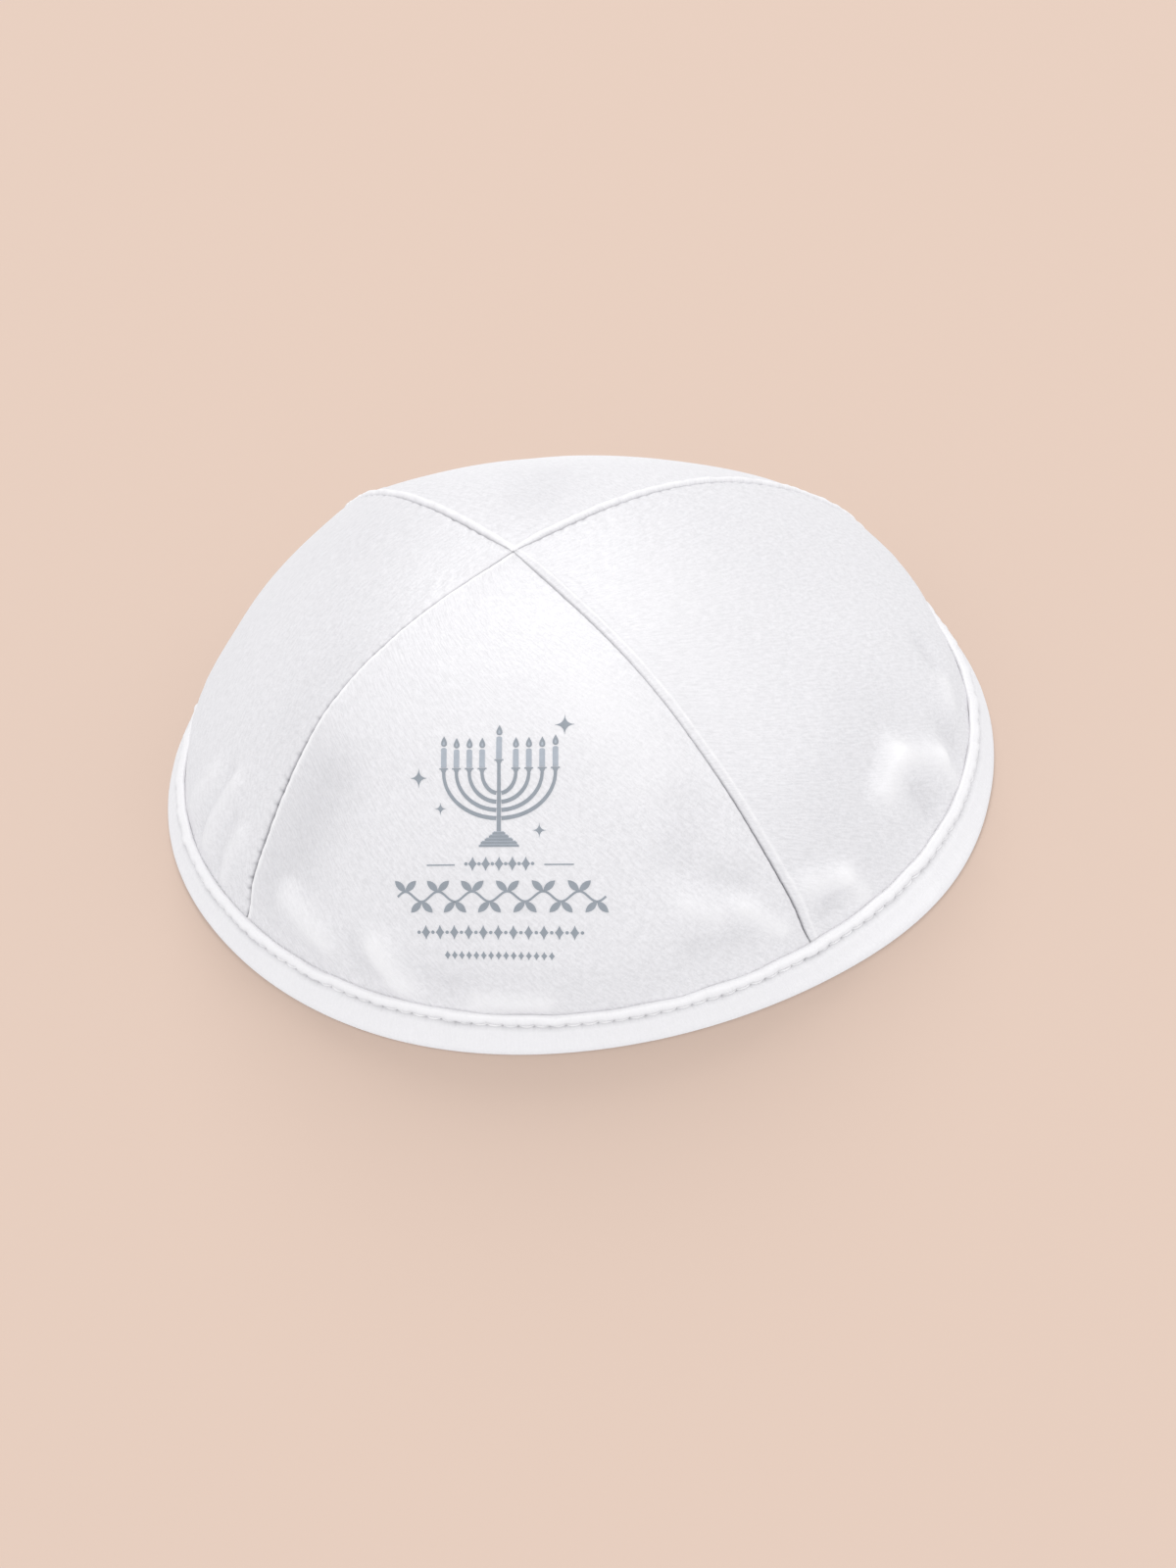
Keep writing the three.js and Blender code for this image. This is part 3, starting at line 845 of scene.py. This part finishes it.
def stitchTree(look):
    tree, n, given = newTree("stitchRow", {
        "Path": "Geometry", "Length": "Float", "Thickness": "Float", "Lift": "Float", "Sink": "Float",
        "Turn": "Float", "Seed": "Int"}, "Stitches")
    half = n.times(given["Length"], 0.5)
    low = n.times(given["Sink"], -1.0)
    start = n.first("ShaderNodeCombineXYZ", {"X": n.times(half, -1.0), "Z": low})
    middle = n.first("ShaderNodeCombineXYZ", {"Z": n.times(given["Lift"], 2.0)})
    end = n.first("ShaderNodeCombineXYZ", {"X": half, "Z": low})
    arcSteps, ringSteps = rimThread["steps"]
    arc = n.first("GeometryNodeCurveQuadraticBezier",
                  {"Resolution": arcSteps, "Start": start, "Middle": middle, "End": end})
    ring = n.first("GeometryNodeCurvePrimitiveCircle",
                   {"Resolution": ringSteps, "Radius": n.times(given["Thickness"], 0.5)})
    stitch = n.first("GeometryNodeCurveToMesh", {"Curve": arc, "Profile Curve": ring, "Fill Caps": True})
    row = onPoints(n, given["Path"], stitch)
    least = n.times(given["Turn"], -1.0)
    stray = n.add("FunctionNodeRandomValue", {2: least, 3: given["Turn"], "Seed": given["Seed"]}).outputs[1]
    strayTurn = n.first("ShaderNodeCombineXYZ", {"Z": stray})
    turned = n.first("GeometryNodeRotateInstances", {"Instances": row, "Rotation": strayTurn})
    endTree(n, turned, look, "Stitches")
    return tree


def pointsMesh(name, places, **directions):
    mesh = newMesh(name, places, [])
    for label, vectors in directions.items():
        layer = mesh.attributes.new(label, "FLOAT_VECTOR", "POINT")
        layer.data.foreach_set("vector", vectors.astype(np.float32).ravel())
    return mesh


def grownPiece(name, mesh, tree, inputs):
    # runs a tree on the points and keeps its result as a plain mesh
    seedObject = placed(f"{name}_points", mesh)
    modifier = seedObject.modifiers.new("grow", "NODES")
    modifier.node_group = tree
    for item in tree.interface.items_tree:
        if item.name in inputs:
            modifier[item.identifier] = inputs[item.name]
    bpy.context.view_layer.update()
    evaluated = seedObject.evaluated_get(bpy.context.evaluated_depsgraph_get())
    result = bpy.data.meshes.new_from_object(evaluated)
    seedObject.modifiers.remove(modifier)
    bpy.data.objects.remove(seedObject)
    result.name = name
    return placed(name, result)


def stitchRow(name, out, facing, tree):
    faces, outward = rimFace(stripColumns, np.array([rimStrip["stitchHeight"]]))
    places = faces[0] + outward[0] * out
    places[:, 2] = rimStrip["stitchHeight"]
    along = np.roll(places, -1, axis=0) - np.roll(places, 1, axis=0)
    along /= np.linalg.norm(along, axis=1, keepdims=True)
    middles = slice(rimStrip["columnsPerStitch"] // 2, None, rimStrip["columnsPerStitch"])
    mesh = pointsMesh(name, places[middles], along=along[middles], outward=outward[0][middles] * facing)
    sizes = {label: rimThread[label.lower()] / metre for label in ("Length", "Thickness", "Lift", "Sink")}
    stray = {"Turn": math.radians(rimThread["turn"]), "Seed": rimThread["seed"]}
    piece = grownPiece(name, mesh, tree, {**sizes, **stray})
    piece.data.shade_smooth()
    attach(piece, "root")


stitches = stitchTree(thread)
stitchRow("stitches_outside", rimThread["outsideAt"], 1, stitches)
stitchRow("stitches_inside", rimThread["insideAt"], -1, stitches)
print("rim is stitched")


# The ornament printed on the front panel


lampPrint = {
    "middle": 1.4,  # right of the panel's middle line
    "drift": (36.0, 0.045),  # below this height on the cloth its middle moves left by this share
    "lean": 0.03,
    "droop": 0.005,  # how rows bend on the dome
    "ink": 0.09,
    "sink": 0.06,
    "base": (39.7, 0.6, [7.65, 6.9, 5.35, 3.75, 2.45]),  # height on the cloth, step, widths
    # dark and light line on each step: height over its middle, width as a share of the step, inset
    "baseLines": [(-0.08, 0.62, 0.0), (0.22, 0.3, 0.25)],
    "stem": (42.6, 56.2, 0.8, 0.62),  # from, to, width below and above
    # aside from the stem, lowest point of the arm, top of the candle
    "arms": [(10.8, 45.3, 59.3), (8.27, 46.9, 58.95), (5.73, 48.5, 58.95), (3.24, 50.2, 58.95)],
    "armWidth": (0.6, 0.78),
    "armGap": 0.5,
    "cupTop": 55.2,
    "cup": (1.7, 0.62, 0.85),  # width above and below, height
    "cupRim": (0.25, 0.7),  # height, and how wide the cup is below it
    # width, foot over the cup, end of its sides below its top, rounding
    "candle": (1.07, 0.12, 0.4, 0.28),
    "middleCandle": (56.9, 61.5),
    "flame": (1.15, 2.1, 0.25),  # width, height, gap over the candle
    "flameLight": (0.36, 0.4, 0.14, 0.3),  # width, height, foot and middle of its light part, as shares
    "flamePoint": 1.4,
    # aside, height on the cloth, width, height
    "stars": [
        (12.5, 63.6, 3.8, 4.1), (-15.9, 53.3, 3.4, 3.8), (-11.4, 47.2, 2.2, 2.4), (7.7, 42.9, 2.5, 2.8),
    ],
    "starWaist": 0.11,
}
rowPrint = {
    "rules": (36.3, 0.24, [(-14.2, -8.6), (8.6, 14.2)]),  # height, width, from and to
    "rowOne": (36.5, 2.55, 5),  # height, pitch, count
    "vine": (30.3, 20.4, 6.8, 0.95, 0.4),  # height, half length, wavelength, rise, width
    "rowThree": (23.5, 2.9, 11),
    "rowFour": (19.1, 1.45, 15),
    "lozenge": (1.7, 2.7, 0.72),  # width, height, waist
    "smallLozenge": (1.15, 1.6, 0.72),
    "leaf": (3.0, 1.3, 0.8),  # length, width, power of its sides
    "leafTurn": 43,
    "dot": (0.66, 10),  # width, corners
    "near": 0.2,  # step that gives a motif's direction on the cloth
}


def frontCloth(asides, heights):
    # places and directions on the front panel of points given on the flat print
    grid = panelGrids["front"]
    upward, sideways = grid["upward"], grid["sideways"]
    lowest, drift = lampPrint["drift"]
    side = lampPrint["middle"] + asides - drift * np.maximum(lowest - heights, 0)
    up = heights + lampPrint["lean"] * asides - lampPrint["droop"] * asides**2
    row = np.interp(up, upward, np.arange(len(upward)))
    low = np.clip(row.astype(int), 0, len(upward) - 2)
    part = (row - low)[:, None]
    reached = sideways[low] * (1 - part) + sideways[low + 1] * part
    column = np.array([np.interp(at, line, np.arange(len(line))) for at, line in zip(side, reached)])
    left = np.clip(column.astype(int), 0, sideways.shape[1] - 2)
    share = (column - left)[:, None]

    def mixed(table):
        below = table[low, left] * (1 - share) + table[low, left + 1] * share
        above = table[low + 1, left] * (1 - share) + table[low + 1, left + 1] * share
        return below * (1 - part) + above * part

    outward = mixed(grid["normals"])
    return mixed(grid["outer"]), outward / np.linalg.norm(outward, axis=1, keepdims=True)


def ribbon(path, widths):
    path = np.array(path, float)
    along = np.gradient(path, axis=0)
    left = np.stack([-along[:, 1], along[:, 0]], -1) / np.linalg.norm(along, axis=1, keepdims=True)
    half = (np.zeros(len(path)) + widths)[:, None] / 2
    n = len(path)
    return np.concatenate([path + left * half, path - left * half]), [
        (k + n, k + n + 1, k + 1, k) for k in range(n - 1)]


def barUp(aside, low, high, widthLow, widthHigh, steps):
    heights = np.linspace(low, high, steps)
    return ribbon([(aside, height) for height in heights], np.linspace(widthLow, widthHigh, steps))


def barAcross(start, end, height, width, steps):
    return ribbon([(aside, height) for aside in np.linspace(start, end, steps)], width)


def fan(outline, centre):
    n = len(outline)
    return np.array(list(outline) + [centre], float), [(n, k, (k + 1) % n) for k in range(n)]


def starOutline(width, height, waist, steps=4):
    # four long points with hollow sides between them
    tips = np.array([(width / 2, 0), (0, height / 2), (-width / 2, 0), (0, -height / 2)])
    outline = []
    for tip, following in zip(tips, np.roll(tips, -1, axis=0)):
        hollow = waist / 2 * (tip + following)
        for t in np.linspace(0, 1, 2 * steps, endpoint=False):
            outline.append((1 - t) ** 2 * tip + 2 * t * (1 - t) * hollow + t**2 * following)
    return np.array(outline)


def leafOutline(length, width, power, steps=6):
    along = np.linspace(0, 1, steps, endpoint=False)
    side = width / 2 * np.sin(math.pi * along) ** power
    return np.concatenate([np.stack([along * length, -side], -1), np.stack([(1 - along) * length, side], -1)])


def tearOutline(width, height, steps=18):
    turn = np.linspace(0, 2 * math.pi, steps, endpoint=False)
    side = np.sin(turn) * np.sin(turn / 2) ** lampPrint["flamePoint"]
    return np.stack([side / np.abs(side).max() * width / 2, height * (0.5 + 0.5 * np.cos(turn))], -1)[::-1]


def inkSolid(points, faces, lift):
    # a thin closed layer of ink: lift(points, height) gives the places of its faces
    n = len(points)
    edges = {(face[k], face[(k + 1) % len(face)]) for face in faces for k in range(len(face))}
    walls = [(a, a + n, b + n, b) for a, b in edges if (b, a) not in edges]
    under = [tuple(k + n for k in reversed(face)) for face in faces]
    places = np.concatenate([lift(points, lampPrint["ink"]), lift(points, -lampPrint["sink"])])
    return places, [tuple(face) for face in faces] + under + sorted(walls)


def onCloth(points, height):
    places, outward = frontCloth(points[:, 0], points[:, 1])
    return places + outward * height


def onTable(points, height):
    return np.column_stack([points, np.full(len(points), height)])


def candleShapes(aside, foot, top):
    # one cup with its candle and flame, as shapes with 0 for dark ink and 1 for light
    cupWidth, cupFoot, cupHeight = lampPrint["cup"]
    rim, below = lampPrint["cupRim"]
    body, over, straight, tip = lampPrint["candle"]
    rounded = [(aside + body / 2 * math.cos(turn), top - tip + tip * math.sin(turn))
               for turn in np.linspace(0, math.pi, 7)]
    column = [(aside + body / 2, height) for height in np.linspace(foot + over, top - straight, 4)]
    outline = column + rounded + [(2 * aside - a, height) for a, height in reversed(column)]
    wide, tall, gap = lampPrint["flame"]
    narrow, short, start, middle = lampPrint["flameLight"]
    at = np.array([aside, top + gap])
    outer, inner = tearOutline(wide, tall), tearOutline(wide * narrow, tall * short) + (0, tall * start)
    n = len(outer)
    ring = [(k, (k + 1) % n, n + (k + 1) % n, n + k) for k in range(n)]
    return [
        (barUp(aside, foot - cupHeight, foot - rim, cupFoot, cupWidth * below, 4), 0),
        (barUp(aside, foot - rim, foot, cupWidth, cupWidth, 2), 0),
        (fan(outline, (aside, (foot + top) / 2)), 1),
        ((np.concatenate([outer, inner]) + at, ring), 0),
        (fan(inner + at, at + (0, tall * middle)), 1),
    ]


def lampShapes():
    shapes = []
    low, step, widths = lampPrint["base"]
    for k, width in enumerate(widths):
        for look, (rise, share, inset) in enumerate(lampPrint["baseLines"]):
            half = width / 2 - inset
            shapes.append((barAcross(-half, half, low + (k + 0.5) * step + rise, step * share, 9), look))
    shapes.append((barUp(0, *lampPrint["stem"], 20), 0))
    candles = [(0, *lampPrint["middleCandle"])]
    shoulder = lampPrint["cupTop"] - lampPrint["cup"][2]
    thin, thick = lampPrint["armWidth"]
    for aside, lowest, candleTop in lampPrint["arms"]:
        turn = np.linspace(math.asin(lampPrint["armGap"] / aside), math.pi / 2, 26)
        for side in (-1, 1):
            path = np.stack([side * aside * np.sin(turn), shoulder - (shoulder - lowest) * np.cos(turn)], -1)
            shapes.append((ribbon(path[::side], (thin + (thick - thin) * np.cos(turn))[::side]), 0))
            candles.append((side * aside, lampPrint["cupTop"], candleTop))
    for candle in candles:
        shapes += candleShapes(*candle)
    for aside, height, width, tall in lampPrint["stars"]:
        star = starOutline(width, tall, lampPrint["starWaist"]) + (aside, height)
        shapes.append((fan(star, (aside, height)), 0))
    height, width, spans = rowPrint["rules"]
    shapes += [(barAcross(start, end, height, width, 10), 0) for start, end in spans]
    height, half, wavelength, rise, width = rowPrint["vine"]
    asides = np.linspace(-half, half, 120)
    vine = np.stack([asides, height + rise * np.sin(2 * math.pi * asides / wavelength)], -1)
    return shapes + [(ribbon(vine, width), 0)]


def lampPiece():
    points, faces, faceLooks, count = [], [], [], 0
    for (flat, flatFaces), look in lampShapes():
        places, sides = inkSolid(np.array(flat, float), flatFaces, onCloth)
        points.append(places)
        faces += [tuple(k + count for k in face) for face in sides]
        faceLooks += [look] * len(sides)
        count += len(places)
    mesh = newMesh("print_lamp", np.concatenate(points), faces, [inkDark, inkLight])
    mesh.polygons.foreach_set("material_index", faceLooks)
    piece = placed("print_lamp", mesh)
    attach(piece, "root")


def motifTree():
    tree, n, given = newTree("motifRow", {"Points": "Geometry", "Motif": "Object", "Ink": "Material"}, "Row")
    motif = n.add("GeometryNodeObjectInfo", {"Object": given["Motif"]}).outputs["Geometry"]
    endTree(n, onPoints(n, given["Points"], motif), given["Ink"], "Row")
    return tree


def motifRow(name, outline, spots, tree):
    # spots are (aside, height on the cloth, turn in degrees)
    solid, sides = inkSolid(*fan(outline, outline.mean(axis=0)), onTable)
    motif = bpy.data.objects.new(f"{name}_motif", newMesh(f"{name}_motif", solid, sides))
    asides, heights, turns = np.array(spots, float).T
    places, outward = frontCloth(asides, heights)
    near, turns = rowPrint["near"], np.radians(turns)
    along = frontCloth(asides + near * np.cos(turns), heights + near * np.sin(turns))[0] - places
    along /= np.linalg.norm(along, axis=1, keepdims=True)
    piece = grownPiece(name, pointsMesh(name, places, along=along, outward=outward), tree,
                       {"Motif": motif, "Ink": inkDark})
    bpy.data.objects.remove(motif)
    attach(piece, "root")


def evenSpots(row, more=0):
    height, pitch, count = rowPrint[row]
    count += more
    return [((k - (count - 1) / 2) * pitch, height, 0) for k in range(count)]


def printRows(tree):
    width, corners = rowPrint["dot"]
    ways = np.linspace(0, 2 * math.pi, corners, endpoint=False)
    dot = width / 2 * np.stack([np.cos(ways), np.sin(ways)], -1)
    lozenges, dots = (evenSpots("rowOne", more) + evenSpots("rowThree", more) for more in (0, 1))
    motifRow("print_lozenges", starOutline(*rowPrint["lozenge"]), lozenges, tree)
    motifRow("print_dots", dot, dots, tree)
    motifRow("print_beads", starOutline(*rowPrint["smallLozenge"]), evenSpots("rowFour"), tree)
    height, half, wavelength, rise, _ = rowPrint["vine"]
    bends = round(2 * half / wavelength)
    turn = rowPrint["leafTurn"]
    leaves = []
    for k in range(-bends, bends):
        # a pair of leaves on each bend of the vine, on its outer side
        aside, side = (k + 0.5) * wavelength / 2, (-1) ** k
        leaves += [(aside, height + side * rise, side * way) for way in (turn, 180 - turn)]
    motifRow("print_leaves", leafOutline(*rowPrint["leaf"]), leaves, tree)


lampPiece()
printRows(motifTree())
print("ornament is printed")


# Floor, light and camera


studio = {
    "floorColour": (0.622, 0.486, 0.405),
    "floorWidth": 6000.0,
    "skyTop": (0.99, 0.985, 1.0),
    "skyBottom": (0.97, 0.965, 0.98),
    "skyStrength": 0.975,
    # azimuth from the front, elevation, power in watts
    "lights": {
        "above": (0, 90, 0.7),
        "behind": (186, 55, 1.9),
        "right": (90, 50, 0.9),
        "left": (262, 38, 0.35),
        "front": (0, 28, 0.3),
    },
    # a light that deepens the shadow and lights the floor alone, and its angle
    "floorLight": (192, 32, 1.2),
    "floorLightAngle": 34,
    "lightDistance": 1500.0,
    "lightWidth": 800.0,
}
camera = {
    "azimuth": 11.804,
    "elevation": 39.769,
    "roll": 6.682,
    "distance": 1000.0,
    "lens": 113.3,
    "aim": (1.83, -3.37),  # mm right of the origin and up from it, in the picture
}


def wayOut(azimuth, elevation):
    # direction from the origin to a place at these angles, in degrees, with azimuth 0 at the front
    aside, above = math.radians(azimuth), math.radians(elevation)
    return Vector((math.sin(aside) * math.cos(above), -math.cos(aside) * math.cos(above), math.sin(above)))


def floorPiece():
    material, n, shader = newMaterial("floor")
    n.join(shader, {"Base Color": (*studio["floorColour"], 1), "Roughness": 1.0, "Specular IOR Level": 0.0})
    corners = np.array([(-1, -1, 0), (1, -1, 0), (1, 1, 0), (-1, 1, 0)]) * studio["floorWidth"] / 2
    floor = placed("floor", newMesh("floor", corners, [(0, 1, 2, 3)], [material]))
    floor.visible_diffuse = False
    floor.visible_glossy = False
    return floor


def makeWorld():
    world = bpy.data.worlds.new("studio")
    world.use_nodes = True
    n = Nodes(world.node_tree)
    place = n.add("ShaderNodeTexCoord").outputs["Generated"]
    up = n.add("ShaderNodeSeparateXYZ", {"Vector": place}).outputs["Z"]
    sky = n.mix(n.spread(up, (-1, 1), (0, 1)), (*studio["skyBottom"], 1), (*studio["skyTop"], 1))
    n.join(n.tree.nodes["Background"], {"Color": sky, "Strength": studio["skyStrength"]})
    scene.world = world


def placeLight(name, kind, azimuth, elevation, power):
    lamp = placed(name, bpy.data.lights.new(name, kind))
    lamp.data.energy = power
    way = wayOut(azimuth, elevation)
    lamp.location = way * (studio["lightDistance"] / metre)
    lamp.rotation_euler = (-way).to_track_quat("-Z", "Y").to_euler()
    return lamp


def makeLights(floor):
    for name, light in studio["lights"].items():
        lamp = placeLight(name, "AREA", *light)
        lamp.data.shape = "DISK"
        lamp.data.size = studio["lightWidth"] / metre
    lamp = placeLight("floorLight", "SUN", *studio["floorLight"])
    lamp.data.angle = math.radians(studio["floorLightAngle"])
    lit = bpy.data.collections.new("floorOnly")
    lit.objects.link(floor)
    lamp.light_linking.receiver_collection = lit


def makeCamera():
    back, level = wayOut(camera["azimuth"], camera["elevation"]), wayOut(camera["azimuth"] + 90, 0)
    above = back.cross(level)
    roll = math.radians(camera["roll"])
    right = level * math.cos(roll) - above * math.sin(roll)
    up = level * math.sin(roll) + above * math.cos(roll)
    aimRight, aimUp = camera["aim"]
    place = right * aimRight + up * aimUp + back * camera["distance"]
    eye = placed("camera", bpy.data.cameras.new("camera"))
    eye.data.lens = camera["lens"]
    eye.matrix_world = Matrix.Translation(place / metre) @ Matrix((right, up, back)).transposed().to_4x4()
    scene.camera = eye


makeWorld()
makeLights(floorPiece())
makeCamera()
scene.view_settings.view_transform = "Standard"
print("floor, light and camera are set")
